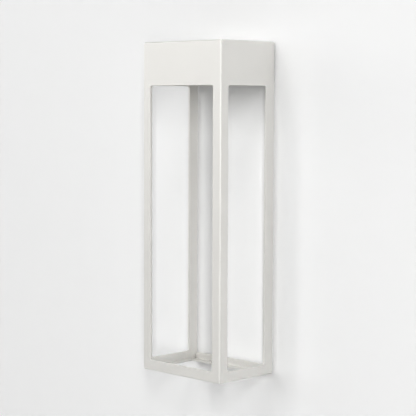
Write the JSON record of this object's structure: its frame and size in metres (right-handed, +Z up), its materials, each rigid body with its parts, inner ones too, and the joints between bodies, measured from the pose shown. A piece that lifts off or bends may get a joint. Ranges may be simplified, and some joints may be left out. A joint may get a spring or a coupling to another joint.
{
  "type": "outdoor wall lantern",
  "caption": "Tall box-shaped outdoor wall lantern: folded metal frame with open windows under a closed lamp head, hung on a wall bracket.",
  "frame": {"origin": "centre of the wall bracket's back face, on the wall plane, at mid-height of the lamp head", "axes": "+Z up, +Y into the wall, +X to the right of a person who faces the wall"},
  "size_m": [0.165, 0.115, 0.5],
  "materials": {
    "paint": "satin",
    "cast_aluminium": "satin",
    "zinc_steel": "satin",
    "brass": "satin",
    "opal_lens": "satin",
    "reflector_white": "satin",
    "board": "satin",
    "phosphor": "matte",
    "rubber_black": "matte",
    "silicone": "matte",
    "casing": "satin",
    "wire_brown": "satin",
    "wire_blue": "satin",
    "wire_green": "satin",
    "wire_red": "satin",
    "wire_black": "satin"
  },
  "bodies": {
    "wall_mount": {"wall_bracket": "zinc_steel", "cable_grommet": "rubber_black"},
    "lantern": {"board_screw_left": "zinc_steel", "board_screw_right": "zinc_steel", "body_shell": "paint", "clamp_screw_earth": "brass", "clamp_screw_live": "brass", "clamp_screw_neutral": "brass", "driver": "casing", "driver_screw_left": "zinc_steel", "driver_screw_right": "zinc_steel", "earth_lead": "wire_green", "earth_lug": "brass", "earth_nut": "zinc_steel", "earth_stud": "zinc_steel", "foot_pad_left": "rubber_black", "foot_pad_right": "rubber_black", "hanger_bar": "zinc_steel", "heat_sink": "cast_aluminium", "lamp_tray": "paint", "led_board": "board", "led_chip": "phosphor", "led_lead_minus": "wire_black", "led_lead_plus": "wire_red", "lens": "opal_lens", "lens_gasket": "silicone", "light_box": "cast_aluminium", "light_box_screw_front_left": "zinc_steel", "light_box_screw_front_right": "zinc_steel", "light_box_screw_rear_left": "zinc_steel", "light_box_screw_rear_right": "zinc_steel", "live_lead": "wire_brown", "lock_nut": "zinc_steel", "lock_screw": "zinc_steel", "lock_spacer": "rubber_black", "neutral_lead": "wire_blue", "rear_cross_bar": "paint", "reflector": "reflector_white", "sink_screw_1": "zinc_steel", "sink_screw_2": "zinc_steel", "sink_screw_3": "zinc_steel", "sink_screw_4": "zinc_steel", "terminal_block": "casing", "terminal_fixing_screw": "zinc_steel", "top_cover": "paint", "tray_bracket_front_left": "zinc_steel", "tray_bracket_front_right": "zinc_steel", "tray_bracket_rear_left": "zinc_steel", "tray_bracket_rear_right": "zinc_steel", "tray_screw_front_left": "zinc_steel", "tray_screw_front_right": "zinc_steel", "tray_screw_rear_left": "zinc_steel", "tray_screw_rear_right": "zinc_steel"}
  },
  "joints": [
    {"name": "foot_swing", "type": "hinge", "parent": "wall_mount", "child": "lantern", "pos_m": [0, -0.005, 0.0203], "axis": [-1, 0, 0], "range_deg": [0, 6]}
  ]
}
